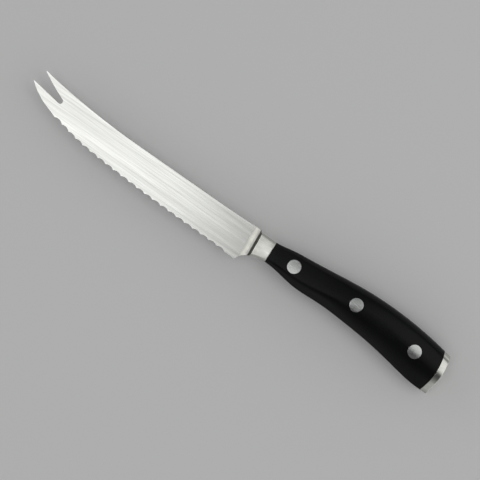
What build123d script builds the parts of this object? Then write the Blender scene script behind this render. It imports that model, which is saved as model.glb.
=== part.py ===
from build123d import *
import math
import os

# A tomato knife lying on its right side: +X from the blade to the butt, +Y from the edge to the
# back, +Z up out of the left side. It is drawn from the point of the back at the bolster line,
# then moved so that the origin is under the middle of its box.

# Blade
blade_length = 141.8  # bolster line to the tip of the lower prong
blade_height = 19.8  # back line to the edge, at the heel
back_thickness_heel = 2.0  # along the back, at the bolster
back_thickness_tip = 1.4  # along the back, at the prongs
edge_thickness_heel = 0.8  # at the heel, above the grind
back_rise = 0.5  # the back's lift just ahead of the bolster
heel_setback = 3.4  # bolster line to the heel's corner

# Fork at the tip
upper_prong_setback = 2.9
upper_prong_rise = 4.6
lower_prong_drop = 3.1
prong_tip_radius = 0.22
notch_depth = 18.8
notch_radius = 1.42
notch_drop = 4.25  # back line to the middle of the notch's round root
prong_swell = 0.35  # how far the upper prong's lower edge stands proud of a straight line

# Serrated edge, ground from the right side
tooth_count = 22
scallop_depth = 0.88
grind_angle = 20  # degrees between the flutes and the blade's left face
grind_allowance = 0.16  # blank left below the tooth points, which the flutes grind away
edge_land = 0.05

# Front bolster
cove_length = 5.0  # grinding radius that runs out on the blade
cove_rise = 0.42
step_run = 0.9  # length of the steep step at the bolster's front
step_setback = 1.15  # bolster line to the top of the step, along the back
step_fillet = 0.5
step_slant = 5.0  # degrees off square to the back line
bolster_length = 9.95  # bolster line to the scales, along the back
seam_slant = 2.5  # degrees

# Handle
handle_length = 119.2  # bolster line to the butt
handle_depth = 27.2  # crest of the back to the lowest point of the belly
handle_width = 16.6
tang_thickness = 3.0
cap_length = 3.5
seam_radius = 46.0  # of the seam ahead of the butt cap, seen from the side
butt_radius = 46.0
arc_reach = 30  # degrees that both arcs run above and below their middle
butt_corner_radius = 1.8  # at the back and the belly, seen from the side
butt_corner_margin = 0.2  # the corner rounds start this far outside the back and the belly
seam_clearance = 0.03

# Rivets
rivet_head_diameter = 7.4
rivet_head_thickness = 2.6
sleeve_diameter = 5.0
post_diameter = 3.2
post_engagement = 1.2  # how far the post enters the sleeve's head
rivet_clearance = 0.02
tang_bore_clearance = 0.1

overrun = handle_width  # how far cutters run past what they cut

# Blade outline, as shares of blade_length ahead of the bolster line and of blade_height below the
# back line
back_straight_shares = (0.176, 0.55)
underside_shares = ((0.9590, 0.374), (0.9170, 0.514), (0.8840, 0.591))
tooth_line_shares = (
    (0.859, 0.642), (0.756, 0.802), (0.617, 0.897), (0.430, 0.957), (0.212, 0.985), (0.069, 0.992)
)
choil_shares = ((0.0030, 0.779), (-0.0180, 0.692))
root_shares = (-0.05, 0.55)  # the corner of the blade's blank inside the bolster
root_drop_shares = (0.018, 0.9)

# Handle stations, as shares of handle_length behind the bolster line. At each of them, heights are
# shares of handle_depth above the back line and half widths are shares of half of handle_width.
# The contour goes from 0, the flat bolster, to 1, the full palm.
station_shares = (-0.033, 0.0, 0.042, 0.092, 0.159, 0.250, 0.376, 0.518, 0.668, 0.810, 0.918, 1.018)
back_shares = (-0.016, -0.016, -0.017, -0.012, 0.039, 0.089, 0.155, 0.225, 0.247, 0.213, 0.154, 0.085)
belly_shares = (-0.684, -0.559, -0.474, -0.443, -0.467, -0.522, -0.509, -0.529, -0.585, -0.68, -0.746, -0.75)
ridge_shares = (-0.257, -0.257, -0.257, -0.279, -0.323, -0.331, -0.261, -0.154, -0.158, -0.228, -0.287, -0.32)
width_shares = (0.590, 0.602, 0.620, 0.651, 0.687, 0.759, 0.873, 0.970, 1.0, 0.994, 0.958, 0.910)
belly_round_shares = (0.040, 0.040, 0.044, 0.051, 0.074, 0.096, 0.114, 0.136, 0.158, 0.184, 0.206, 0.213)
contour_shares = (0, 0, 0, 0.08, 0.35, 0.62, 0.85, 1, 1, 1, 1, 1)

# The section's other shares, at contour 0 and at contour 1
land_shares = (0.72, 0.22)  # half width of the flat along the back and the belly
shoulder_shares = (0.98, 0.85)  # half width below the round at the back
flank_shares = (0.98, 0.72)  # half width above the round at the belly
back_round_shares = (0.042, 0.120)
fullness_shares = (0.10, 0.55)  # of the rounds: 0 is a flat chamfer, 0.55 a quarter of an ellipse
parabola_share = 2 / 3  # fullness that gives the sides the curve of a parabola

bow_share = 0.56  # of the butt's height, down to the middle of its bow

# Rivet centres, as shares of handle_length and handle_depth
rivet_shares = {"front": (0.2055, -0.200), "middle": (0.5206, -0.120), "rear": (0.8425, -0.215)}


def on_blade(share):
    """A point of the blade's outline from its pair of shares."""
    along, down = share
    return Vector(-along * blade_length, -down * blade_height)


def face_slopes():
    """How fast the blade's left face climbs per unit along +X and along +Y."""
    climb_y = (back_thickness_heel - edge_thickness_heel) / 2 / blade_height
    drop_to_tip = (back_thickness_heel - back_thickness_tip) / 2
    climb_x = (drop_to_tip + climb_y * upper_prong_rise) / blade_length
    return climb_x, climb_y


def face_height(place):
    """Height of the blade's left face over a point of its outline."""
    climb_x, climb_y = face_slopes()
    return back_thickness_heel / 2 + climb_x * place.X + climb_y * place.Y


def tooth_line():
    """The curve through the points of the teeth, from the fork to the heel."""
    return Spline([on_blade(share) for share in tooth_line_shares])


def touch_point(outside, centre, radius, side):
    """Where a line from a point touches a circle, on the circle's right for side 1, left for -1."""
    way = outside - centre
    turn = math.degrees(math.acos(radius / way.length))
    return centre + way.normalized().rotate(Axis.Z, side * turn) * radius


def notch_edges(upper_tip, lower_tip):
    """The notch between the prongs, from the upper prong's tip round its root to the lower one's."""
    centre = Vector(notch_depth - notch_radius - blade_length, -notch_drop)
    upper_root = touch_point(upper_tip, centre, notch_radius, -1)
    lower_root = touch_point(lower_tip, centre, notch_radius, 1)
    swell = (upper_root - upper_tip).normalized().rotate(Axis.Z, -90) * prong_swell
    return [
        ThreePointArc(upper_tip, (upper_tip + upper_root) / 2 + swell, upper_root),
        ThreePointArc(upper_root, centre + Vector(notch_radius, 0), lower_root),
        Line(lower_root, lower_tip),
    ]


def blade_outline():
    """The blade's plan face, before the teeth are ground, with a root inside the bolster."""
    nearer, farther = [Vector(-share * blade_length, 0) for share in back_straight_shares]
    back_top = Vector(-root_drop_shares[0] * blade_length, back_rise)
    back_low = Vector(step_setback, -root_drop_shares[1] * back_rise)
    root_choil = on_blade(root_shares)
    root_back = Vector(root_choil.X, 2 * back_low.Y)
    tip = prong_tip_radius
    upper_tip = Vector(upper_prong_setback - blade_length, upper_prong_rise)
    lower_tip = Vector(-blade_length, -lower_prong_drop)
    heel = Vector(-heel_setback, -blade_height)
    under_tip = lower_tip + Vector(tip, -2 * tip)
    teeth = [on_blade(share) - Vector(0, grind_allowance) for share in tooth_line_shares]
    underside = [under_tip] + [on_blade(share) for share in underside_shares] + teeth + [heel]
    edges = [
        Line(root_choil, root_back),
        Line(root_back, back_low),
        Bezier(back_low, Vector(step_setback - step_run, back_rise), Vector(-step_run, back_rise), back_top),
        TangentArc(nearer, back_top, tangent=(1, 0)),
        Line(nearer, farther),
        TangentArc(farther, upper_tip, tangent=(-1, 0)),
        ThreePointArc(upper_tip, upper_tip + Vector(-tip, -tip), upper_tip + Vector(tip / 2, -2 * tip)),
    ]
    edges += notch_edges(upper_tip + Vector(tip / 2, -2 * tip), lower_tip + Vector(tip, 0))
    edges += [
        ThreePointArc(lower_tip + Vector(tip, 0), lower_tip + Vector(0, -tip), under_tip),
        Spline(underside),
        ThreePointArc(heel, on_blade(choil_shares[0]), on_blade(choil_shares[1])),
        Line(on_blade(choil_shares[1]), root_choil),
    ]
    return make_face(edges)


def wedge(outline):
    """The outline thickened between the two tapered faces of the blade."""
    blank = extrude(outline, amount=back_thickness_heel, both=True)
    climb_x, climb_y = face_slopes()
    left_face = Plane(origin=(0, 0, back_thickness_heel / 2), z_dir=(-climb_x, -climb_y, 1))
    right_face = Plane(origin=(0, 0, -back_thickness_heel / 2), z_dir=(-climb_x, -climb_y, -1))
    blank = split(blank, bisect_by=left_face, keep=Keep.BOTTOM)
    return split(blank, bisect_by=right_face, keep=Keep.BOTTOM)


def flutes():
    """One tilted cylinder per scallop, which grinds the right face up to an edge on the left one."""
    line = tooth_line()
    pitch = line.length / tooth_count
    lean = math.radians(grind_angle)
    sink = scallop_depth * math.sin(lean)
    radius = (pitch**2 / 4 + sink**2) / (2 * sink)
    cutters = []
    for tooth in range(tooth_count):
        start, end = line @ (tooth / tooth_count), line @ ((tooth + 1) / tooth_count)
        inward = (end - start).normalized().rotate(Axis.Z, 90)
        top = (start + end) / 2 + inward * scallop_depth
        top += Vector(0, 0, face_height(top))
        outward = inward * math.sin(lean) + Vector(0, 0, math.cos(lean))
        along = inward * math.cos(lean) - Vector(0, 0, math.sin(lean))
        middle = top - outward * radius
        cutters.append(Plane(origin=middle, z_dir=along) * Cylinder(radius, overrun))
    return cutters


def heel_grind():
    """The plain ground edge between the last tooth and the heel."""
    last_tooth = tooth_line() @ 1
    lean = math.radians(grind_angle)
    edge = Vector(last_tooth.X, -blade_height, 0)
    edge += Vector(0, 0, face_height(edge) - edge_land)
    outward = Vector(0, math.sin(lean), math.cos(lean))
    block = Box(overrun, overrun, overrun, align=(Align.MIN, Align.CENTER, Align.MAX))
    return Plane(origin=edge, x_dir=(1, 0, 0), z_dir=outward) * block


def bolster_front():
    """Both halves of the space behind the cove and the step, sheared along the blade's taper."""
    climb_x, climb_y = face_slopes()
    cove_start, step_foot = step_setback - cove_length, step_setback - step_run
    foot_height = face_height(Vector(cove_start, 0))
    step_height = foot_height + cove_rise
    side_height = width_shares[1] * handle_width / 2
    rise_way = Vector(step_run, side_height - step_height).normalized()
    cove_end = Vector(step_foot - step_fillet, step_height)
    corner = Vector(step_foot, step_height + cove_rise * step_fillet / cove_length)
    climb_end = corner + rise_way * step_fillet
    top = corner + rise_way * overrun
    rear = handle_length + overrun
    edges = [
        Line((cove_start, -foot_height), (cove_start, foot_height)),
        TangentArc((cove_start, foot_height), cove_end, tangent=(1, climb_x)),
        Bezier(cove_end, corner, climb_end),
        Line(climb_end, top),
        Line(top, (rear, top.Y)),
        Line((rear, top.Y), (rear, -foot_height)),
        Line((rear, -foot_height), (cove_start, -foot_height)),
    ]
    profile = Plane.XZ * make_face(edges)
    way = Vector(math.tan(math.radians(step_slant)), -1, -climb_y)
    upper = extrude(Pos(way * -overrun) * profile, amount=3 * overrun * way.length, dir=way)
    return upper + mirror(upper, about=Plane.XY)


def rounded(start, corner, end, fullness):
    """A curve from start to end that leaves and arrives along the lines to the corner."""
    leaving, arriving = start + (corner - start) * fullness, end + (corner - end) * fullness
    return Edge.make_bezier(start, leaving, arriving, end)


def between(pair, contour):
    """A section share between its flat and its full value."""
    return pair[0] + (pair[1] - pair[0]) * contour


def handle_section(station, back, belly, ridge, width, belly_round, contour):
    """The handle's closed section at one station, from its shares."""
    x = station * handle_length
    back_y, belly_y, ridge_y = back * handle_depth, belly * handle_depth, ridge * handle_depth
    side = width * handle_width / 2
    land = between(land_shares, contour) * side
    shoulder_z = between(shoulder_shares, contour) * side
    flank_z = between(flank_shares, contour) * side
    shoulder_y = back_y - between(back_round_shares, contour) * handle_depth
    flank_y = belly_y + belly_round * handle_depth
    upper_slope = 2 * (side - shoulder_z) / (shoulder_y - ridge_y)
    lower_slope = 2 * (side - flank_z) / (ridge_y - flank_y)
    fullness = between(fullness_shares, contour)

    def half(sign):
        """The side's four curves, from the flat along the back to the flat along the belly."""
        back_land, belly_land = Vector(x, back_y, sign * land), Vector(x, belly_y, sign * land)
        shoulder, flank = Vector(x, shoulder_y, sign * shoulder_z), Vector(x, flank_y, sign * flank_z)
        crest = Vector(x, ridge_y, sign * side)
        back_corner = Vector(x, back_y, sign * (shoulder_z - upper_slope * (back_y - shoulder_y)))
        belly_corner = Vector(x, belly_y, sign * (flank_z - lower_slope * (flank_y - belly_y)))
        upper_middle = Vector(x, (shoulder_y + ridge_y) / 2, sign * side)
        lower_middle = Vector(x, (flank_y + ridge_y) / 2, sign * side)
        return [
            rounded(back_land, back_corner, shoulder, fullness),
            rounded(shoulder, upper_middle, crest, parabola_share),
            rounded(crest, lower_middle, flank, parabola_share),
            rounded(flank, belly_corner, belly_land, fullness),
        ]

    left, right = half(1), half(-1)
    belly_flat = Edge.make_line(left[-1] @ 1, right[-1] @ 1)
    back_flat = Edge.make_line(right[0] @ 0, left[0] @ 0)
    return Wire(left + [belly_flat] + right[::-1] + [back_flat])


def handle_envelope():
    """The whole contoured handle with both bolsters, a little longer than the finished one."""
    heights = (back_shares, belly_shares, ridge_shares)
    rows = zip(station_shares, *heights, width_shares, belly_round_shares, contour_shares)
    return Solid.make_loft([handle_section(*row) for row in rows])


def beyond_arc(x, radius):
    """The plan face behind an arc across the handle that bows towards the butt and touches x."""
    middle_y = between((back_shares[-1], belly_shares[-1]), bow_share) * handle_depth
    middle = Vector(x, middle_y)
    centre = middle - Vector(radius, 0)
    top, bottom = [centre + Vector(radius, 0).rotate(Axis.Z, turn) for turn in (arc_reach, -arc_reach)]
    rear_top, rear_bottom = Vector(x + overrun, top.Y), Vector(x + overrun, bottom.Y)
    edges = [
        ThreePointArc(bottom, middle, top),
        Line(top, rear_top),
        Line(rear_top, rear_bottom),
        Line(rear_bottom, bottom),
    ]
    return make_face(edges)


def outside_butt():
    """The space past the butt's bowed end and round its two corners, seen from the side."""
    front, rear = [share * handle_length for share in station_shares[-2:]]
    back_front, back_rear = [share * handle_depth + butt_corner_margin for share in back_shares[-2:]]
    belly_front, belly_rear = [share * handle_depth - butt_corner_margin for share in belly_shares[-2:]]
    corners = [(front, back_front), (rear, back_rear), (rear, belly_rear), (front, belly_front)]
    butt = make_face(Polyline(corners, close=True)) - beyond_arc(handle_length, butt_radius)
    butt = fillet(butt.vertices().sort_by(Axis.X)[-2:], butt_corner_radius)
    width = rear + overrun - front
    block = Pos(front + width / 2, 0) * Rectangle(width, 2 * (handle_depth + overrun))
    return extrude(block - butt, amount=overrun, both=True)


def behind_seam(clearance):
    """The space behind the front bolster's seam, as far as the butt."""
    lean = math.tan(math.radians(seam_slant))
    reach = handle_depth + overrun
    front = bolster_length + clearance
    corners = [
        (front - lean * reach, reach),
        (front + lean * reach, -reach),
        (handle_length + overrun, -reach),
        (handle_length + overrun, reach),
    ]
    return extrude(make_face(Polyline(corners, close=True)), amount=overrun, both=True)


def scale_space(clearance):
    """The space of both scales: between the two seams and clear of the tang."""
    cap = beyond_arc(handle_length - cap_length - clearance, seam_radius)
    space = behind_seam(clearance) - extrude(cap, amount=2 * overrun, both=True)
    tang = Box(2 * handle_length, 2 * handle_length, tang_thickness)
    return space - tang


def rivet_place(name):
    """Where a rivet's axis stands on the handle."""
    along, up = rivet_shares[name]
    return Vector(along * handle_length, up * handle_depth)


def seat_height(name, handle):
    """How far a rivet's seats lie from the middle of the handle."""
    axis = Axis(rivet_place(name), (0, 0, 1))
    surface = max(point.Z for point, normal in handle.find_intersection_points(axis))
    return surface - rivet_head_thickness


def column(name, diameter, bottom, top):
    """An upright cylinder on a rivet's axis."""
    standing = (Align.CENTER, Align.CENTER, Align.MIN)
    place = rivet_place(name) + Vector(0, 0, bottom)
    return Pos(place) * Cylinder(diameter / 2, top - bottom, align=standing)


def scale_bores(name, handle):
    """Counterbores for both heads and the bore for the sleeve between them."""
    seat = seat_height(name, handle)
    head_bore = rivet_head_diameter + 2 * rivet_clearance
    bores = column(name, sleeve_diameter + 2 * rivet_clearance, -seat, seat)
    bores += column(name, head_bore, seat, seat + overrun)
    return bores + column(name, head_bore, -seat - overrun, -seat)


def rivet_post(name, handle):
    """The solid half: a head ground flush with the left scale and the shank below it."""
    seat = seat_height(name, handle)
    head = column(name, rivet_head_diameter, seat, seat + overrun) & handle
    return head + column(name, post_diameter, -seat - post_engagement, seat)


def rivet_sleeve(name, handle):
    """The tubular half: a head ground flush with the right scale and the tube up to the post's head."""
    seat = seat_height(name, handle)
    head = column(name, rivet_head_diameter, -seat - overrun, -seat) & handle
    body = head + column(name, sleeve_diameter, -seat, seat)
    bore_floor = -seat - post_engagement - rivet_clearance
    return body - column(name, post_diameter + 2 * rivet_clearance, bore_floor, seat)


def blade():
    """The serrated blade with its root."""
    solid = wedge(blade_outline()) - heel_grind()
    for cutter in flutes():
        solid -= cutter
    return solid


def handle_body():
    """The handle's envelope, cut to the front bolster's step and to the butt."""
    return (handle_envelope() & bolster_front()) - outside_butt()


def cove():
    """The grinding radius on both faces of the blade, ahead of the step."""
    ledge_height = back_thickness_heel / 2 + cove_rise + step_fillet / 2
    return extrude(blade_outline(), amount=ledge_height, both=True) & bolster_front()


def knife():
    """Every piece by name, in the frame it is drawn in."""
    handle = handle_body()
    scales = handle & scale_space(seam_clearance)
    tang_bore = sleeve_diameter + 2 * tang_bore_clearance
    forging = blade() + cove() + (handle - scale_space(0))
    for name in rivet_shares:
        forging -= column(name, tang_bore, -tang_thickness, tang_thickness)
        scales -= scale_bores(name, handle)
    right_scale, left_scale = scales.solids().sort_by(Axis.Z)
    pieces = {"blade_forging": forging, "left_scale": left_scale, "right_scale": right_scale}
    for name in rivet_shares:
        pieces[f"{name}_rivet_post"] = rivet_post(name, handle)
        pieces[f"{name}_rivet_sleeve"] = rivet_sleeve(name, handle)
    return pieces


def to_origin(pieces):
    """The move that brings the middle of the whole box's underside to the origin."""
    boxes = [piece.bounding_box() for piece in pieces.values()]
    x = min(box.min.X for box in boxes) + max(box.max.X for box in boxes)
    y = min(box.min.Y for box in boxes) + max(box.max.Y for box in boxes)
    return Pos(-x / 2, -y / 2, -min(box.min.Z for box in boxes))


pieces = knife()
move = to_origin(pieces)
os.makedirs("parts", exist_ok=True)
for name, piece in pieces.items():
    export_step(move * piece, f"parts/{name}.step")
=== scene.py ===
"""A forged tomato knife with a forked tip, dressed around its packed construction.

Every piece is modelled in millimetres on the knife's own axes, which start on the line of the back
where the blade meets the front bolster: along towards the butt, up towards the back, and out of
the left side. It is then settled into the frame, in metres, beside the solids that it stands for.
"""

from __future__ import annotations

import logging
import math
from collections.abc import Callable, Iterator, Sequence
from contextlib import contextmanager
from dataclasses import dataclass
from enum import Enum
from itertools import chain

import bmesh
import bpy
import numpy as np
from mathutils import Matrix, Vector

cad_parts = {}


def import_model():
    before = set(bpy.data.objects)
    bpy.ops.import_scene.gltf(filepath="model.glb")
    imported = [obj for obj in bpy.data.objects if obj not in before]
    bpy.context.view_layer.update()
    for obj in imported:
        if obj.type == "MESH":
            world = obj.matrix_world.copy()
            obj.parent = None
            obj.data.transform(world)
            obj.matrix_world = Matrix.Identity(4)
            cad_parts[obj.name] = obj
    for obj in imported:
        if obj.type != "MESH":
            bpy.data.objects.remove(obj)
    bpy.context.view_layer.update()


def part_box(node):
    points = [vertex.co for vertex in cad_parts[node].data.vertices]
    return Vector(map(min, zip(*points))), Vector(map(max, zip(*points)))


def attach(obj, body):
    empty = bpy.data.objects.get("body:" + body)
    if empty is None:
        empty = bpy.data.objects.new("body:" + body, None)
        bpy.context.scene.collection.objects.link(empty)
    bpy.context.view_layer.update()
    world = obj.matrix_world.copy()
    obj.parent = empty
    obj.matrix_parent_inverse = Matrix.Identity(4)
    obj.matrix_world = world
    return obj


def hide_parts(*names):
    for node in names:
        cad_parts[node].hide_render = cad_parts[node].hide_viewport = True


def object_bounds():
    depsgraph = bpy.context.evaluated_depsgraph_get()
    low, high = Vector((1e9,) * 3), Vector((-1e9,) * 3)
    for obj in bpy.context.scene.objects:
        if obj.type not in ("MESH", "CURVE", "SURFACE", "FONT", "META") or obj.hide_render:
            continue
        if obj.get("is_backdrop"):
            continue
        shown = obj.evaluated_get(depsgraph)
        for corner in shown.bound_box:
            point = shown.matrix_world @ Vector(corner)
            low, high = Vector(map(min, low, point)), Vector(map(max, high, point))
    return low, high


MM = 0.001
BODY = "root"

# Closer than this, in millimetres, two points are one
MERGE_DISTANCE = 0.0005
# How far two faces may turn, in degrees, where the skin runs on smoothly, and how far they turn
# where a sharp edge is rounded, with how many strips
SMOOTH_ANGLE = 24.0
SHARP_TURNS = (65.0, 115.0)
ROUND_SEGMENTS = 2
# How often a smooth curve is sampled for each point that it passes through
FINE_STEPS = 40
# The middle range of a noise, which the colours and the roughness are spread over
NOISE_RANGE = {"From Min": 0.3, "From Max": 0.7}
NOISE_ROUGHNESS = 0.55

LOG = logging.getLogger("tomato_knife")

Arrow = Vector | np.ndarray
Points = Sequence[Sequence[float]] | np.ndarray
Piece = bpy.types.Object
Tree = bpy.types.NodeTree
Socket = bpy.types.NodeSocket
Surface = Callable[[np.ndarray], np.ndarray]
Place = Callable[[Vector], bool]


class Cut(Enum):
    """What a boolean cutter does to a piece."""

    REMOVE = "DIFFERENCE"
    ADD = "UNION"


# Curves


class SmoothCurve:
    """A natural cubic curve through rows of values at rising places."""

    def __init__(self, places: np.ndarray, values: np.ndarray) -> None:
        """Solves the curve's bending at every place.

        Args:
            places: Rising numbers, one for each row.
            values: Rows of numbers that the curve passes through.
        """
        self.places = np.asarray(places, float)
        self.values = np.asarray(values, float)
        self.steps = np.diff(self.places)
        count = len(self.places)
        matrix = np.eye(count)
        bends = np.zeros_like(self.values)
        slopes = (np.diff(self.values, axis=0).T / self.steps).T
        for row in range(1, count - 1):
            before, after = self.steps[row - 1], self.steps[row]
            matrix[row, row - 1 : row + 2] = before, 2 * (before + after), after
            bends[row] = 6 * (slopes[row] - slopes[row - 1])
        self.bends = np.linalg.solve(matrix, bends)

    def at(self, where: np.ndarray) -> np.ndarray:
        """The curve's rows at some places.

        Args:
            where: Places along the curve.

        Returns:
            One row of values for each place.
        """
        where = np.atleast_1d(np.asarray(where, float))
        index = np.clip(np.searchsorted(self.places, where) - 1, 0, len(self.steps) - 1)
        step = self.steps[index][:, None]
        after = (where - self.places[index])[:, None] / step
        before = 1 - after
        flat = before * self.values[index] + after * self.values[index + 1]
        bend = (before**3 - before) * self.bends[index] + (after**3 - after) * self.bends[index + 1]
        return flat + bend * step**2 / 6


def run_along(rows: np.ndarray) -> np.ndarray:
    """How far each row lies from the first, along the chords between them."""
    return np.concatenate([[0], np.cumsum(np.linalg.norm(np.diff(rows, axis=0), axis=1))])


def curve_through(points: Sequence[Vector], count: int) -> np.ndarray:
    """Evenly spaced points of the smooth curve through some points of a plane.

    Args:
        points: The points, in order.
        count: How many steps the curve is cut into.

    Returns:
        count + 1 rows of two coordinates.
    """
    rows = np.asarray(points, float)
    chords = run_along(rows)
    fine = SmoothCurve(chords, rows).at(np.linspace(0, chords[-1], FINE_STEPS * len(rows)))
    run = run_along(fine)
    even = np.linspace(0, run[-1], count + 1)
    return np.stack([np.interp(even, run, fine[:, axis]) for axis in (0, 1)], axis=1)


def arc_through(start: Vector, middle: Vector, end: Vector, count: int) -> list[Vector]:
    """Points of the arc from start to end by way of middle.

    Args:
        start: First point, in a plane.
        middle: A point on the arc.
        end: Last point.
        count: How many steps the arc is cut into.

    Returns:
        count + 1 points.
    """
    matrix = np.array([middle - start, end - start], float) * 2
    known = [middle.dot(middle) - start.dot(start), end.dot(end) - start.dot(start)]
    centre = Vector(np.linalg.solve(matrix, known))
    turns = [math.atan2(point.y - centre.y, point.x - centre.x) for point in (start, middle, end)]
    sweep = (turns[2] - turns[0]) % math.tau
    if (turns[1] - turns[0]) % math.tau > sweep:
        sweep -= math.tau
    radius = (start - centre).length
    angles = [turns[0] + sweep * step / count for step in range(count + 1)]
    return [centre + Vector((math.cos(angle), math.sin(angle))) * radius for angle in angles]


def tangent_arc(start: Vector, end: Vector, leaving: Vector, count: int) -> list[Vector]:
    """Points of the arc that leaves its start along a direction.

    Args:
        start: First point, in a plane.
        end: Last point.
        leaving: The direction at the start.
        count: How many steps the arc is cut into.

    Returns:
        count + 1 points.
    """
    chord = end - start
    normal = Vector((-leaving.y, leaving.x)).normalized()
    radius = chord.length_squared / (2 * chord.dot(normal))
    centre = start + normal * radius
    middle = centre + ((start + end) / 2 - centre).normalized() * abs(radius)
    return arc_through(start, middle, end, count)


def bezier(corners: Sequence[Vector], count: int) -> list[Vector]:
    """Points of a cubic curve.

    Args:
        corners: Its start, the two points that steer it, and its end.
        count: How many steps the curve is cut into.

    Returns:
        count + 1 points.
    """
    a, b, c, d = corners
    points = []
    for step in range(count + 1):
        done = step / count
        left = 1 - done
        points.append(a * left**3 + b * 3 * done * left**2 + c * 3 * done**2 * left + d * done**3)
    return points


def touch_point(outside: Vector, centre: Vector, radius: float, side: int) -> Vector:
    """Where a line from a point touches a circle.

    Args:
        outside: The point, in the circle's plane.
        centre: The circle's centre.
        radius: Its radius.
        side: 1 or -1, for one of the two points where such a line can touch.

    Returns:
        The point on the circle.
    """
    way = outside - centre
    turn = side * math.acos(radius / way.length)
    return centre + Matrix.Rotation(turn, 2) @ way.normalized() * radius


# Modelling


def deselect_all() -> None:
    """Leaves nothing selected, so that an operator acts on its own piece only."""
    if bpy.context.object and bpy.context.object.mode != "OBJECT":
        bpy.ops.object.mode_set(mode="OBJECT")
    for piece in bpy.context.selected_objects:
        piece.select_set(False)


def activate(piece: Piece) -> None:
    """Makes a piece the only selected one and the active one.

    Args:
        piece: The piece.
    """
    deselect_all()
    piece.select_set(True)
    bpy.context.view_layer.objects.active = piece


@contextmanager
def editing(piece: Piece, action: str) -> Iterator[None]:
    """Keeps a piece in edit mode while a block of code runs.

    Args:
        piece: The piece, which becomes the active one.
        action: SELECT or DESELECT, for all of its mesh at the start.

    Yields:
        Nothing.
    """
    activate(piece)
    bpy.ops.object.mode_set(mode="EDIT")
    bpy.ops.mesh.select_all(action=action)
    yield
    bpy.ops.object.mode_set(mode="OBJECT")


def place_selected(piece: Piece, points: Points) -> None:
    """Moves the selected ring of a piece in edit mode, corner by corner.

    Args:
        piece: The piece.
        points: Where the corners go, in the ring's own order.
    """
    mesh = bmesh.from_edit_mesh(piece.data)
    mesh.verts.index_update()
    ring = sorted((v for v in mesh.verts if v.select), key=lambda v: v.index)
    for vertex, point in zip(ring, points, strict=True):
        vertex.co = point
    bmesh.update_edit_mesh(piece.data)


def divide_in_strips(piece: Piece) -> None:
    """Joins each corner of a ring to the corner across from it, as rungs join a ladder.

    Args:
        piece: The piece, in edit mode with the ring selected.
    """
    mesh = bmesh.from_edit_mesh(piece.data)
    mesh.verts.index_update()
    ring = sorted(v.index for v in mesh.verts if v.select)
    for rung in range(1, len(ring) // 2):
        bpy.ops.mesh.select_all(action="DESELECT")
        mesh = bmesh.from_edit_mesh(piece.data)
        mesh.verts.ensure_lookup_table()
        mesh.select_mode = {"VERT"}
        for corner in (ring[rung], ring[-rung]):
            mesh.verts[corner].select_set(True)
        bmesh.update_edit_mesh(piece.data)
        bpy.ops.mesh.vert_connect()


def loft(name: str, rings: Sequence[Points], strip_end: bool = False) -> Piece:
    """A closed skin: a circle is shaped to the first ring, then extruded from ring to ring.

    Args:
        name: The new piece's name.
        rings: Closed rings with as many points each.
        strip_end: Divides the last face into strips across, so that it keeps the curve of its ring.

    Returns:
        The piece, in millimetres on the knife's own axes.
    """
    deselect_all()
    bpy.ops.mesh.primitive_circle_add(vertices=len(rings[0]), radius=1, fill_type="NGON")
    piece = bpy.context.object
    piece.name = piece.data.name = name
    with editing(piece, "SELECT"):
        place_selected(piece, rings[0])
        for ring in rings[1:]:
            bpy.ops.mesh.extrude_region_move()
            place_selected(piece, ring)
        if strip_end:
            divide_in_strips(piece)
        bpy.ops.mesh.select_all(action="SELECT")
        bpy.ops.mesh.remove_doubles(threshold=MERGE_DISTANCE)
        bpy.ops.mesh.normals_make_consistent(inside=False)
    return piece


def prism(name: str, outline: Points, sweep: Vector) -> Piece:
    """A solid with the same outline at both ends, the far end moved by sweep."""
    return loft(name, [outline, [Vector(point) + sweep for point in outline]])


def mirrored(piece: Piece, name: str) -> Piece:
    """The same piece for the knife's other side, with its own mesh.

    Args:
        piece: What is mirrored. It stays as it is.
        name: The new piece's name.

    Returns:
        The mirror image.
    """
    image = piece.copy()
    image.data = piece.data.copy()
    image.name = image.data.name = name
    bpy.context.scene.collection.objects.link(image)
    image.data.transform(Matrix.Scale(-1, 4, Vector((0, 0, 1))))
    with editing(image, "SELECT"):
        bpy.ops.mesh.normals_make_consistent(inside=False)
    return image


def apply_modifier(piece: Piece, kind: str, **settings: object) -> None:
    """Gives a piece a modifier and applies it.

    Args:
        piece: The piece, in object mode.
        kind: The modifier's type.
        settings: Values of its properties.
    """
    activate(piece)
    modifier = piece.modifiers.new(kind.lower(), kind)
    for key, value in settings.items():
        setattr(modifier, key, value)
    bpy.ops.object.modifier_apply(modifier=modifier.name)


def combine(piece: Piece, tool: Piece, cut: Cut) -> None:
    """Cuts a piece with another, or joins the two, and removes the other.

    Args:
        piece: What is kept.
        tool: What cuts or is added. Its finish goes onto the faces that it makes.
        cut: Which of the two it is.
    """
    settings = {"object": tool, "operation": cut.value, "solver": "EXACT", "material_mode": "TRANSFER"}
    apply_modifier(piece, "BOOLEAN", **settings)
    bpy.data.objects.remove(tool)


def bevel_sharp(piece: Piece, width: float, where: Place) -> None:
    """Rounds sharp outer edges.

    Args:
        piece: The piece, in object mode.
        width: How far the rounding reaches along each face, in millimetres.
        where: Says of an edge's middle whether the edge may be rounded.
    """
    with editing(piece, "DESELECT"):
        mesh = bmesh.from_edit_mesh(piece.data)
        for edge in mesh.edges:
            if len(edge.link_faces) != 2 or not edge.is_convex:
                continue
            turn = math.degrees(edge.calc_face_angle())
            middle = (edge.verts[0].co + edge.verts[1].co) / 2
            if SHARP_TURNS[0] <= turn <= SHARP_TURNS[1] and where(middle):
                edge.select_set(True)
        bmesh.update_edit_mesh(piece.data)
        bpy.ops.mesh.bevel(offset=width, segments=ROUND_SEGMENTS, clamp_overlap=False)


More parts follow.
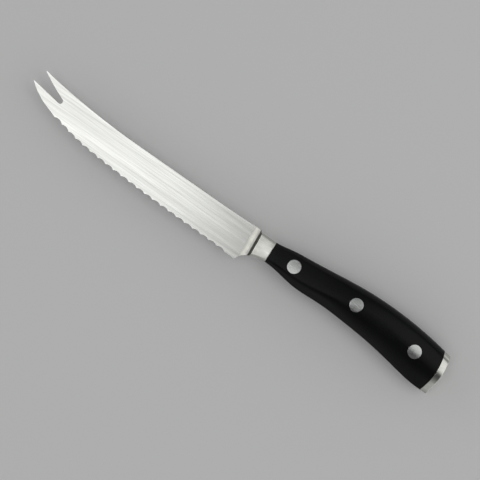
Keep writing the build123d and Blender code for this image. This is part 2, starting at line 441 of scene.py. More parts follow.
def tidy_mesh(piece: Piece) -> None:
    """Merges the doubles that cutting leaves and smooths what isn't an edge.

    Args:
        piece: The piece, in object mode.
    """
    with editing(piece, "SELECT"):
        bpy.ops.mesh.remove_doubles(threshold=MERGE_DISTANCE)
        bpy.ops.mesh.dissolve_degenerate(threshold=MERGE_DISTANCE)
    bpy.ops.object.shade_smooth_by_angle(angle=math.radians(SMOOTH_ANGLE))
    apply_modifier(piece, "WEIGHTED_NORMAL", mode="FACE_AREA", keep_sharp=True)


# The knife's shape


@dataclass(frozen=True)
class HandleShape:
    """The contoured handle, from the front bolster to the butt, in millimetres and in shares of them.

    The stations are shares of the length. At each of them backs, bellies, ridges and belly rounds are
    shares of the depth, and widths are shares of the width. Contours run from 0 for the plain section
    with flat chamfers to 1 for the rounded grip, and each pair of shares holds at those two ends.
    """

    length: float = 119.2
    depth: float = 27.2
    width: float = 16.6
    tang: float = 3.0
    bolster: float = 9.95
    seam_slant: float = 2.5
    cap: float = 3.5
    seam_radius: float = 46.0
    butt_radius: float = 80.0
    butt_corner: float = 1.2
    butt_corner_margin: float = 0.2
    butt_rim: float = 0.45
    bow_share: float = 0.56
    stations: tuple[float, ...] = (
        -0.033, 0.0, 0.042, 0.092, 0.159, 0.250, 0.376, 0.518, 0.668, 0.810, 0.918, 1.018
    )
    backs: tuple[float, ...] = (
        -0.016, -0.016, -0.017, -0.012, 0.039, 0.089, 0.155, 0.225, 0.2469, 0.213, 0.154, 0.077
    )
    bellies: tuple[float, ...] = (
        -0.684, -0.559, -0.474, -0.443, -0.467, -0.522, -0.509, -0.529, -0.585, -0.68, -0.745, -0.738
    )
    ridges: tuple[float, ...] = (
        -0.257, -0.257, -0.257, -0.279, -0.323, -0.331, -0.261, -0.154, -0.158, -0.228, -0.287, -0.32
    )
    widths: tuple[float, ...] = (
        0.590, 0.602, 0.620, 0.651, 0.687, 0.759, 0.873, 0.970, 0.999, 0.993, 0.957, 0.896
    )
    belly_rounds: tuple[float, ...] = (
        0.040, 0.040, 0.044, 0.051, 0.074, 0.096, 0.114, 0.136, 0.158, 0.184, 0.206, 0.213
    )
    contours: tuple[float, ...] = (0, 0, 0, 0.08, 0.35, 0.62, 0.85, 1, 1, 1, 1, 1)
    land_shares: tuple[float, float] = (0.72, 0.22)
    shoulder_shares: tuple[float, float] = (0.98, 0.85)
    flank_shares: tuple[float, float] = (0.98, 0.72)
    back_round_shares: tuple[float, float] = (0.042, 0.120)
    fullness_shares: tuple[float, float] = (0.03, 0.55)
    parabola_share: float = 2 / 3
    round_steps: int = 10
    side_steps: int = 12
    ring_rounds: int = 5

    def curves(self) -> SmoothCurve:
        """The smooth curve through the handle's stations."""
        tables = (self.backs, self.bellies, self.ridges, self.widths, self.belly_rounds, self.contours)
        return SmoothCurve(np.array(self.stations) * self.length, np.array(tables).T)

    def half_section(self, along: np.ndarray) -> tuple[np.ndarray, np.ndarray]:
        """The left half of the handle's section, from the middle of the back to that of the belly.

        Args:
            along: The place along the handle of each point of the section.

        Returns:
            Heights and half widths, one for each point.
        """
        back, belly, ridge, width, belly_round, contour = self.curves().at(along).T
        contour = np.clip(contour, 0, 1)
        back, belly, ridge = back * self.depth, belly * self.depth, ridge * self.depth
        side = width * self.width / 2

        def shaped(shares: tuple[float, float]) -> np.ndarray:
            """The share that holds here, between that of a plain section and that of a contoured one."""
            return shares[0] + (shares[1] - shares[0]) * contour

        land, fullness = side * shaped(self.land_shares), shaped(self.fullness_shares)
        shoulder_w, flank_w = side * shaped(self.shoulder_shares), side * shaped(self.flank_shares)
        shoulder = back - shaped(self.back_round_shares) * self.depth
        flank = belly + belly_round * self.depth
        # The sides are two parabolas that meet on the ridge, and the rounds leave along their slopes
        upper = 2 * (side - shoulder_w) / (shoulder - ridge)
        lower = 2 * (side - flank_w) / (ridge - flank)
        back_corner = shoulder_w - upper * (back - shoulder)
        belly_corner = flank_w - lower * (flank - belly)
        curves = (
            ((back, land), (back, back_corner), (shoulder, shoulder_w), fullness),
            ((shoulder, shoulder_w), ((shoulder + ridge) / 2, side), (ridge, side), self.parabola_share),
            ((ridge, side), ((flank + ridge) / 2, side), (flank, flank_w), self.parabola_share),
            ((flank, flank_w), (belly, belly_corner), (belly, land), fullness),
        )
        which, share = self.spread()
        left = 1 - share
        half_tang = np.where((which < 0) | (which > len(curves) + 1), 0, self.tang / 2)
        section = np.stack([np.where(which < 1, back, belly), half_tang])
        for number, (start, corner, end, full) in enumerate(curves, 1):
            start, corner, end = np.stack(start), np.stack(corner), np.stack(end)
            leaving, arriving = start + (corner - start) * full, end + (corner - end) * full
            curve = left**3 * start + share**3 * end
            curve += 3 * share * left * (left * leaving + share * arriving)
            section = np.where(which == number, curve, section)
        return section[0], section[1]

    def spread(self) -> tuple[np.ndarray, np.ndarray]:
        """Which of the section's four curves each point is on, and how far along it.

        Returns:
            Curve numbers, with -1 and 0 for the flat of the back and 5 and 6 for that of the belly, and
            shares of the curves.
        """
        steps = (self.round_steps, self.side_steps, self.side_steps, self.round_steps)
        which, share = [-1, 0, 1], [0.0, 0.0, 0.0]
        for number, count in enumerate(steps, 1):
            which += [number] * count
            share += [step / count for step in range(1, count + 1)]
        return np.array(which + [5, 6]), np.array(share + [0.0, 0.0])

    @property
    def count(self) -> int:
        """How many points half a section has."""
        return len(self.spread()[0])

    def half_ring(self, surface: Surface) -> np.ndarray:
        """The left half of the section that a surface across the handle cuts.

        Args:
            surface: Gives the place along the handle from the heights of the points.

        Returns:
            Rows of along, up and out, from the back to the belly.
        """
        along = surface(np.full(self.count, self.bellies[0] * self.depth / 2))
        for _ in range(self.ring_rounds):
            up, out = self.half_section(along)
            along = surface(up)
        return np.stack([along, up, out], axis=1)

    def front_seam(self, up: np.ndarray) -> np.ndarray:
        """Where the scales start, at each height."""
        return self.bolster - up * math.tan(math.radians(self.seam_slant))

    def bowed(self, middle: float, radius: float, up: np.ndarray) -> np.ndarray:
        """Where an arc across the handle lies at each height, if its bow's middle is at middle."""
        bow_height = (self.backs[-1] + (self.bellies[-1] - self.backs[-1]) * self.bow_share) * self.depth
        return middle - radius + np.sqrt(radius**2 - (up - bow_height) ** 2)

    def rear_seam(self, up: np.ndarray) -> np.ndarray:
        """Where the scales end, at each height."""
        return self.bowed(self.length - self.cap, self.seam_radius, up)

    def butt(self, up: np.ndarray) -> np.ndarray:
        """Where the handle ends, at each height."""
        return self.bowed(self.length, self.butt_radius, up)

    def corner_start(self, up: np.ndarray) -> np.ndarray:
        """Where the handle starts to turn in towards its butt, at each height."""
        return self.butt(up) - self.butt_corner

    def between(self, front: Surface, rear: Surface, count: int) -> list[np.ndarray]:
        """Half rings on surfaces that change evenly from one to another.

        Args:
            front: Gives the place along the handle from the heights.
            rear: The same, further back.
            count: How many rings there are.

        Returns:
            The half rings, from front to rear.
        """
        shares = np.linspace(0, 1, count)
        return [self.half_ring(lambda up, t=t: front(up) * (1 - t) + rear(up) * t) for t in shares]

    def butt_rings(self, count: int) -> list[np.ndarray]:
        """Half rings that turn in at the butt's corners and round its rim.

        Args:
            count: How many rings there are.

        Returns:
            The half rings, from where the corners start to the butt's face.
        """
        rings = []
        for turn in np.linspace(0, math.pi / 2, count):
            short = self.butt_corner * (1 - math.sin(turn))
            ring = self.half_ring(lambda up, short=short: self.butt(up) - short)
            drop = max(0.0, self.butt_corner * (1 - math.cos(turn)) - self.butt_corner_margin)
            lean = max(0.0, 1 - short / self.butt_rim)
            inset = self.butt_rim * (1 - math.sqrt(1 - lean**2))
            middle, half_height = (ring[0, 1] + ring[-1, 1]) / 2, (ring[0, 1] - ring[-1, 1]) / 2
            ring[:, 1] = middle + (ring[:, 1] - middle) * (1 - (drop + inset) / half_height)
            ring[:, 2] *= 1 - inset / ring[:, 2].max()
            rings.append(ring)
        return rings

    def on_seam_rim(self, middle: Vector, reach: float) -> bool:
        """Whether an edge is on the outer rim of a seam between the steel and the scales.

        Args:
            middle: The edge's middle.
            reach: How far from the seam it may lie.

        Returns:
            True on either seam's rim, outside the tang.
        """
        up = np.array(middle.y)
        at_seam = min(abs(middle.x - self.front_seam(up)), abs(middle.x - self.rear_seam(up))) < reach
        return bool(at_seam) and abs(middle.z) > self.tang

    def surface(self, along: float, up: float) -> float:
        """How far the handle's side stands out.

        Args:
            along: The place along the handle.
            up: The place up it, between its rounds.

        Returns:
            The distance from the knife's middle.
        """
        heights, widths = self.half_section(np.full(self.count, along))
        side = slice(self.round_steps + 3, -self.round_steps - 3)
        return float(SmoothCurve(-heights[side], widths[side, None]).at(-up)[0, 0])


def both_sides(half: np.ndarray) -> np.ndarray:
    """A whole ring from its left half."""
    return np.concatenate([half, half[-2:0:-1] * (1, 1, -1)])


# The three rivets, with their shares of the handle's length from its front and of its depth
RIVET_PLACES = (("front", 0.2055, -0.200), ("middle", 0.5206, -0.120), ("rear", 0.8425, -0.215))


@dataclass(frozen=True)
class RivetSeat:
    """A rivet's place on the handle, and the sizes that all three share, in millimetres."""

    handle: HandleShape
    name: str
    along_share: float
    up_share: float
    head_diameter: float = 7.4
    head_thickness: float = 2.6
    sleeve_diameter: float = 5.0
    post_diameter: float = 3.2
    post_engagement: float = 1.2
    clearance: float = 0.02
    tang_clearance: float = 0.1
    facets: int = 96

    @property
    def centre(self) -> tuple[float, float]:
        """Where its axis stands, along and up."""
        return self.along_share * self.handle.length, self.up_share * self.handle.depth

    @property
    def seat(self) -> float:
        """How far its heads' seats lie from the middle of the handle."""
        return self.handle.surface(*self.centre) - self.head_thickness

    def rings(self, *levels: tuple[float, float]) -> list[Points]:
        """Level rings round its axis.

        Args:
            levels: The radius of each ring, and how far out it lies.

        Returns:
            The rings, in the order of the levels.
        """
        along, up = self.centre
        turns = [math.tau * step / self.facets for step in range(self.facets)]
        return [[(along + r * math.cos(t), up + r * math.sin(t), out) for t in turns] for r, out in levels]

    def flush_ring(self, radius: float, below: float) -> Points:
        """A ring round its axis that follows the handle's side, a little below it."""
        level = self.rings((radius, 0))[0]
        return [(along, up, self.handle.surface(along, up) - below) for along, up, _ in level]


@dataclass(frozen=True)
class BladeShape:
    """The forked, serrated blade with the front bolster's step and cove, in millimetres.

    The points of its outline are shares of the length and of the height, towards the tip and the edge.
    """

    length: float = 141.8
    height: float = 19.8
    back_thickness: float = 2.0
    tip_thickness: float = 1.4
    edge_thickness: float = 0.8
    back_rise: float = 0.5
    back_dip: float = 0.45
    heel_setback: float = 3.4
    upper_prong_setback: float = 2.9
    upper_prong_rise: float = 4.6
    lower_prong_drop: float = 3.1
    prong_tip: float = 0.22
    nose_shares: tuple[float, float] = (0.44, -0.25)
    chin_shares: tuple[float, float] = (0.22, 1.0)
    notch_depth: float = 18.8
    notch_radius: float = 1.42
    notch_drop: float = 4.25
    prong_swell: float = 0.35
    teeth: int = 22
    tooth_steps: int = 14
    lead_steps: int = 2
    scallop_depth: float = 0.88
    grind_angle: float = 20.0
    grind_allowance: float = 0.16
    edge_land: float = 0.05
    cove_length: float = 5.0
    cove_rise: float = 0.42
    step_run: float = 0.9
    step_setback: float = 1.15
    step_fillet: float = 0.5
    step_slant: float = 5.0
    back_straight: tuple[float, float] = (0.176, 0.55)
    back_drop: float = 0.018
    tooth_line: tuple[tuple[float, float], ...] = (
        (0.859, 0.642), (0.756, 0.802), (0.617, 0.897), (0.430, 0.957), (0.212, 0.985), (0.069, 0.992)
    )
    underside: tuple[tuple[float, float], ...] = ((0.9590, 0.374), (0.9170, 0.514), (0.8840, 0.591))
    choil: tuple[tuple[float, float], ...] = ((0.0030, 0.779), (-0.0180, 0.692))
    root: tuple[float, float] = (-0.05, 0.55)
    shoulder_steps: int = 10
    hump_steps: int = 8
    back_steps: int = 30
    tip_steps: int = 6
    prong_steps: int = 14
    notch_steps: int = 16
    under_steps: int = 60
    choil_steps: int = 12
    cove_steps: int = 16
    fillet_steps: int = 8

    def point(self, share: tuple[float, float]) -> Vector:
        """A point of the outline from its shares of the blade's length and height."""
        return Vector((-share[0] * self.length, -share[1] * self.height))

    @property
    def step_foot(self) -> float:
        """Where the step starts to climb, along the back."""
        return self.step_setback - self.step_run

    @property
    def cove_start(self) -> float:
        """Where the cove leaves the blade's face, along the back."""
        return self.step_setback - self.cove_length

    @property
    def climb(self) -> Vector:
        """How fast the left face rises along the knife and up it."""
        up = (self.back_thickness - self.edge_thickness) / 2 / self.height
        along = ((self.back_thickness - self.tip_thickness) / 2 + up * self.upper_prong_rise) / self.length
        return Vector((along, up))

    def face(self, place: Vector) -> float:
        """How far the left face stands out over a place."""
        return self.back_thickness / 2 + self.climb.dot(Vector(place[:2]))

    def tooth_points(self) -> np.ndarray:
        """The points of the teeth, from the fork to the heel."""
        return curve_through([self.point(share) for share in self.tooth_line], self.teeth)

    def fork(self) -> list[list[Vector]]:
        """The outline round the fork, from the upper prong's tip to the sole of the lower one.

        Returns:
            The upper tip, the upper side of the notch, its floor and the lower tip, as runs of points.
        """
        tip = self.prong_tip
        upper = Vector((self.upper_prong_setback - self.length, self.upper_prong_rise))
        lower = Vector((-self.length, -self.lower_prong_drop))
        notch_start, notch_end = upper + Vector((tip / 2, -2 * tip)), lower + Vector((tip, 0))
        centre = Vector((self.notch_depth - self.notch_radius - self.length, -self.notch_drop))
        upper_root = touch_point(notch_start, centre, self.notch_radius, -1)
        lower_root = touch_point(notch_end, centre, self.notch_radius, 1)
        way = (upper_root - notch_start).normalized()
        brow = upper + Vector((-tip, tip / 4))
        bulge = (notch_start + upper_root) / 2 + Vector((way.y, -way.x)) * self.prong_swell
        nose, chin = [lower - tip * Vector(shares) for shares in (self.nose_shares, self.chin_shares)]
        sole = lower + Vector((tip, -2 * tip))
        return [
            bezier([upper, brow, notch_start - way * tip, notch_start], self.tip_steps),
            arc_through(notch_start, bulge, upper_root, self.prong_steps),
            arc_through(upper_root, centre + Vector((self.notch_radius, 0)), lower_root, self.notch_steps),
            bezier([notch_end, nose, chin, sole], self.tip_steps),
        ]

    def outline(self) -> list[Vector]:
        """The blade seen from the side before the teeth are ground.

        Returns:
            Its points, from a root inside the bolster along the back and round the fork to the heel.
        """
        nearer, farther = [Vector((-share * self.length, 0)) for share in self.back_straight]
        top = Vector((-self.back_drop * self.length, self.back_rise))
        low = Vector((self.step_setback, -self.back_dip))
        lip, crest = [Vector((along, self.back_rise)) for along in (self.step_foot, -self.step_run)]
        root, heel = self.point(self.root), Vector((-self.heel_setback, -self.height))
        allowance = Vector((0, -self.grind_allowance))
        fork = self.fork()
        under = [fork[-1][-1]] + [self.point(share) for share in self.underside]
        under += [self.point(share) + allowance for share in self.tooth_line] + [heel]
        parts = [
            [root, Vector((root.x, 2 * low.y))],
            bezier([low, lip, crest, top], self.shoulder_steps),
            tangent_arc(nearer, top, Vector((1, 0)), self.hump_steps)[::-1],
            tangent_arc(farther, fork[0][0], Vector((-1, 0)), self.back_steps),
            *fork,
            [Vector(row) for row in curve_through(under, self.under_steps)],
            arc_through(heel, self.point(self.choil[0]), self.point(self.choil[1]), self.choil_steps),
        ]
        outline: list[Vector] = []
        for point in chain(*parts):
            if not outline or (point - outline[-1]).length > MERGE_DISTANCE:
                outline.append(point)
        return outline

    def flute_rings(self, thickness: float, reach: float) -> list[np.ndarray]:
        """Rings of the tool that grinds the scallops and the plain stretch behind them, from the fork on.

        Args:
            thickness: How thick the tool is.
            reach: How far up the right face it reaches.

        Returns:
            Rings of four points, whose first two lie on the ground surface.
        """
        tilt = math.radians(self.grind_angle)
        sink = self.scallop_depth * math.sin(tilt)
        joints = [Vector(row) for row in self.tooth_points()]
        rings: list[np.ndarray] = []

        def ring_at(place: Arrow, along: Arrow, outward: Arrow) -> np.ndarray:
            """The tool's section at a place of the ground surface, with two directions to draw it by."""
            low, high = place - along * thickness, place + along * reach
            return np.array([low, high, high - outward * thickness, low - outward * thickness])

        for start, end in zip(joints, joints[1:]):
            pitch = (end - start).length
            edge = ((end - start) / pitch).to_3d()
            inward = Vector((-edge.y, edge.x, 0))
            radius = (pitch**2 / 4 + sink**2) / (2 * sink)
            top = ((start + end) / 2).to_3d() + inward * self.scallop_depth
            top.z = self.face(top)
            along = inward * math.cos(tilt) - Vector((0, 0, math.sin(tilt)))
            outward = inward * math.sin(tilt) + Vector((0, 0, math.cos(tilt)))
            first = 0 if rings else -self.lead_steps
            for step in range(first, self.tooth_steps + 1):
                offset = (step / self.tooth_steps - 1 / 2) * pitch
                place = top + edge * offset - outward * (radius - math.sqrt(radius**2 - offset**2))
                ring = ring_at(place, along, outward)
                # Two scallops meet in one ring, half way between the last of one and the first of the next
                if step == 0 and rings:
                    rings[-1] = (rings[-1] + ring) / 2
                else:
                    rings.append(ring)
        foot = np.array([0, -self.height, self.face(Vector((joints[-1].x, -self.height))) - self.edge_land])
        along, outward = np.array([(0, math.cos(tilt), -math.sin(tilt)), (0, math.sin(tilt), math.cos(tilt))])
        plain = ring_at(foot, along, outward)
        for behind in (np.full(4, joints[-1].x + self.edge_land), self.cove_start - self.lean * plain[:, 1]):
            ring = plain.copy()
            ring[:, 0] = behind
            rings.append(ring)
        return rings

    @property
    def lean(self) -> float:
        """How far the step runs along the knife for each millimetre down the blade."""
        return math.tan(math.radians(self.step_slant))

    def shear(self) -> Vector:
        """The way that the step and the cove run down the blade."""
        return Vector((self.lean, -1, self.climb.x * self.lean - self.climb.y))

    def at_back(self, place: Vector) -> float:
        """Where a place comes out along the back, followed up the step's slant."""
        return place.x + place.y * self.lean

    def front_profile(self, side_height: float, reach: float) -> list[Vector]:
        """The left side from the blade's face over cove and step, seen along the shear.

        Args:
            side_height: How far the bolster's side stands out.
            reach: How far past the step the profile climbs.

        Returns:
            Points of along and out, from ahead of the tip to the top of the climb.
        """
        start = Vector((self.cove_start, self.face(Vector((self.cove_start, 0)))))
        ledge = start.y + self.cove_rise
        rise = Vector((self.step_run, side_height - ledge)).normalized()
        cove_end = Vector((self.step_foot - self.step_fillet, ledge))
        corner = Vector((self.step_foot, ledge + self.cove_rise * self.step_fillet / self.cove_length))
        climb_end = corner + rise * self.step_fillet
        far = Vector((-self.length - reach, 0))
        far.y = self.back_thickness / 2 + self.climb.x * far.x
        points = [far] + tangent_arc(start, cove_end, Vector((1, self.climb.x)), self.cove_steps)
        points += bezier([cove_end, corner, corner, climb_end], self.fillet_steps)[1:]
        return points + [corner + rise * reach]


@dataclass(frozen=True)
class Bench:
    """Where the knife's own axes start in the frame, in metres."""

    origin: Vector

    @classmethod
    def from_frame(cls, blade: BladeShape, rivet: RivetSeat) -> Bench:
        """Finds the origin from the blade's tip, the front rivet and the thickness of the whole.

        Args:
            blade: The blade's shape.
            rivet: The front rivet's seat.

        Returns:
            The bench.
        """
        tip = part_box("blade_forging")[0].x
        post = sum(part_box("front_rivet_post"), Vector()) / 2
        middle = sum(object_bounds(), Vector()) / 2
        return cls(Vector((tip + blade.length * MM, post.y - rivet.centre[1] * MM, middle.z)))

    def settle(self, piece: Piece, node: str) -> None:
        """Moves a finished piece into the frame, where it stands for a solid of the same name.

        Args:
            piece: The piece, in millimetres on the knife's own axes.
            node: The solid that it stands for.
        """
        piece.data.transform(Matrix.Translation(self.origin) @ Matrix.Scale(MM, 4))
        piece.data.update()
        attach(piece, BODY)
        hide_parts(node)
        LOG.info("%s: %d faces", piece.name, len(piece.data.polygons))


# Finishes


def linear(code: str) -> tuple[float, float, float, float]:
    """Blender's linear colour for an sRGB hex colour.

    Args:
        code: The hex colour, such as #C9C8C4.

    Returns:
        Red, green, blue and an alpha of 1.
    """
    channels = [int(code[start : start + 2], 16) / 255 for start in (1, 3, 5)]
    bright = [c / 12.92 if c <= 0.04045 else ((c + 0.055) / 1.055) ** 2.4 for c in channels]
    return (bright[0], bright[1], bright[2], 1.0)


def add_node(
    tree: Tree,
    kind: str,
    settings: dict[str | int, object] | None = None,
    links: dict[str | int, Socket] | None = None,
) -> bpy.types.Node:
    """Adds a shader node with its settings and links.

    Args:
        tree: The material's or the world's node tree.
        kind: The node's type, without its ShaderNode prefix.
        settings: Values of its properties, and of its inputs by name or number.
        links: Outputs of other nodes, by the name or number of the input that they feed.

    Returns:
        The new node.
    """
    node = tree.nodes.new("ShaderNode" + kind)

    def entry(key: str | int) -> Socket:
        """The input of that name or number which is in use."""
        return next(s for n, s in enumerate(node.inputs) if s.enabled and key in (n, s.name))

    for key, value in (settings or {}).items():
        if isinstance(key, str) and hasattr(node, key):
            setattr(node, key, value)
        else:
            entry(key).default_value = value
    for key, output in (links or {}).items():
        tree.links.new(output, entry(key))
    return node


def new_material(name: str) -> tuple[bpy.types.Material, Tree]:
    """Makes an empty node material.

    Args:
        name: The material's name.

    Returns:
        The material and its node tree.
    """
    material = bpy.data.materials.new(name)
    material.use_nodes = True
    material.node_tree.nodes.clear()
    return material, material.node_tree


def mean_of(tree: Tree, first: Socket, second: Socket) -> Socket:
    """Adds the mean of two noises."""
    both = add_node(tree, "Math", {"operation": "ADD"}, {0: first, 1: second}).outputs[0]
    return add_node(tree, "Math", {"operation": "MULTIPLY", 1: 0.5}, {0: both}).outputs[0]


@dataclass(frozen=True)
class Grain:
    """A noise of drawn-out marks, such as the scratches of a belt or a wheel.

    Its marks are so many millimetres long along the knife and across it. The detail is how many
    finer layers it has, and the seed tells one grain from another.
    """

    along: float
    across: float
    detail: float
    seed: float

    def noise(self, tree: Tree) -> Socket:
        """Adds the noise, from 0 to 1.

        Args:
            tree: The material's node tree.

        Returns:
            The noise's output.
        """
        place = add_node(tree, "TexCoord").outputs["Object"]
        scale = (1 / (self.along * MM), 1 / (self.across * MM), 1 / (self.across * MM))
        drawn = add_node(tree, "Mapping", {"Scale": scale, "Location": (self.seed,) * 3}, {"Vector": place})
        settings = {"Scale": 1.0, "Detail": self.detail, "Roughness": NOISE_ROUGHNESS}
        return add_node(tree, "TexNoise", settings, {"Vector": drawn.outputs[0]}).outputs[0]


@dataclass(frozen=True)
class Finish:
    """What all finishes share: two colours, a range of roughness, and marks of a depth in millimetres."""

    name: str
    colours: tuple[str, str]
    roughness: tuple[float, float]
    marks: Grain
    depth: float = 0.0

    def settings(self) -> dict[str, object]:
        """What the shader is set to before its links: bare metal, where a finish doesn't say otherwise."""
        return {"Metallic": 1.0}

    def steers(self, tree: Tree, marks: Socket) -> tuple[Socket, Socket]:
        """The noises that steer the colour and the roughness: the marks, where a finish has no others."""
        return marks, marks

    def material(self) -> bpy.types.Material:
        """Builds the material.

        Returns:
            The material, with its noises spread over the two colours and the range of roughness.
        """
        material, tree = new_material(self.name)
        marks = self.marks.noise(tree)
        tint, haze = self.steers(tree, marks)
        share = add_node(tree, "MapRange", NOISE_RANGE, {"Value": tint}).outputs[0]
        blend = {"data_type": "RGBA", "A": linear(self.colours[0]), "B": linear(self.colours[1])}
        mix = add_node(tree, "Mix", blend, {"Factor": share})
        span = NOISE_RANGE | {"To Min": self.roughness[0], "To Max": self.roughness[1]}
        links = {
            "Base Color": next(socket for socket in mix.outputs if socket.enabled),
            "Roughness": add_node(tree, "MapRange", span, {"Value": haze}).outputs[0],
        }
        if self.depth:
            bump = add_node(tree, "Bump", {"Distance": self.depth * MM}, {"Height": marks})
            links["Normal"] = bump.outputs[0]
        shader = add_node(tree, "BsdfPrincipled", self.settings(), links)
        add_node(tree, "OutputMaterial", links={"Surface": shader.outputs[0]})
        return material


@dataclass(frozen=True)
class SatinSteel(Finish):
    """Stainless blade steel ground lengthwise on a fine belt.

    The eye sees pale grey with long faint streaks, and lights that are drawn out across them. The
    belt's marks are a few hundredths of a millimetre wide: they are drawn ten times as wide here.
    """

    name: str = "belt_satined_stainless_steel"
    colours: tuple[str, str] = ("#BDBEBA", "#DEDFDB")
    roughness: tuple[float, float] = (0.21, 0.15)
    marks: Grain = Grain(24.0, 0.5, 4.0, 0.0)
    depth: float = 0.003
    bands: Grain = Grain(70.0, 1.8, 2.0, 7.0)

    def steers(self, tree: Tree, marks: Socket) -> tuple[Socket, Socket]:
        """The marks and the broader bands, which steer both together."""
        mean = mean_of(tree, marks, self.bands.noise(tree))
        return mean, mean


@dataclass(frozen=True)
class PolishedSteel(Finish):
    """Forged stainless steel taken to a fine polish on a cloth wheel.

    The eye sees a soft mirror, slightly warm, with a haze of short wheel marks.
    """

    name: str = "cloth_polished_stainless_steel"
    colours: tuple[str, str] = ("#BFBFB9", "#D3D3CD")
    roughness: tuple[float, float] = (0.15, 0.23)
    marks: Grain = Grain(6.0, 0.4, 3.0, 3.0)
    depth: float = 0.002
    cloud: Grain = Grain(6.0, 3.0, 2.0, 5.0)

    def steers(self, tree: Tree, marks: Socket) -> tuple[Socket, Socket]:
        """A soft cloud for the colour, and the marks for the roughness."""
        return self.cloud.noise(tree), marks


@dataclass(frozen=True)
class ShadedCornerSteel(Finish):
    """Steel in the corner of the step, rougher where neither belt nor wheel reaches.

    Its dark grey is painted shade, standing for the shade that falls in the step's corner: the eye sees a
    dark grey line with little shine.
    """

    name: str = "corner_steel_painted_shade"
    # Dark grey colours: painted shade in the step's corner
    colours: tuple[str, str] = ("#52514E", "#64635F")
    roughness: tuple[float, float] = (0.45, 0.55)
    marks: Grain = Grain(1.5, 1.5, 3.0, 9.0)


@dataclass(frozen=True)
class GroundSteel(Finish):
    """Blade steel cut by the scallop wheel.

    The eye sees brighter facets than the sides, with fine marks that run up each flute.
    """

    name: str = "wheel_ground_stainless_steel"
    colours: tuple[str, str] = ("#C9C8C5", "#DFDEDC")
    roughness: tuple[float, float] = (0.18, 0.26)
    marks: Grain = Grain(0.2, 8.0, 3.0, 1.0)
    depth: float = 0.004


@dataclass(frozen=True)
class RivetSteel(Finish):
    """Stainless rivet ground flush with the handle and buffed with it.

    The eye sees a small grey mirror, softened by short marks along the handle.
    """

    name: str = "buffed_stainless_rivet_steel"
    colours: tuple[str, str] = ("#B8BAB8", "#C8CAC8")
    roughness: tuple[float, float] = (0.2, 0.28)
    marks: Grain = Grain(5.0, 0.18, 3.0, 2.0)
    depth: float = 0.002


@dataclass(frozen=True)
class BuffedAcetal(Finish):
    """Black moulded acetal, buffed along the handle.

    The eye sees near-black with a soft gloss, broken by faint lengthwise rubbing marks.
    """

    name: str = "buffed_black_acetal"
    colours: tuple[str, str] = ("#060707", "#0B0C0C")
    roughness: tuple[float, float] = (0.24, 0.34)
    marks: Grain = Grain(16.0, 0.5, 3.0, 4.0)
    depth: float = 0.002
    smudges: Grain = Grain(28.0, 14.0, 2.0, 6.0)
    refraction: float = 1.48
    gloss: float = 0.16

    def settings(self) -> dict[str, object]:
        """A plastic's index of refraction, with its mirror light held back."""
        return {"IOR": self.refraction, "Specular IOR Level": self.gloss}

    def steers(self, tree: Tree, marks: Socket) -> tuple[Socket, Socket]:
        """Smudges for the colour, and smudges and marks together for the roughness."""
        smudges = self.smudges.noise(tree)
        return smudges, mean_of(tree, marks, smudges)


def dress(piece: Piece, *materials: bpy.types.Material) -> None:
    """Gives a piece its materials, the first of them on every face.

    Args:
        piece: The piece.
        materials: The materials, in the order of their numbers.
    """
    piece.data.materials.clear()
    for material in materials:
        piece.data.materials.append(material)


def dress_faces(piece: Piece, index: int, where: Place) -> None:
    """Gives some faces another of the piece's materials.

    Args:
        piece: The piece.
        index: The material's number.
        where: Says of a face's middle whether the face gets it.
    """
    for face in piece.data.polygons:
        if where(face.center):
            face.material_index = index


# The pieces


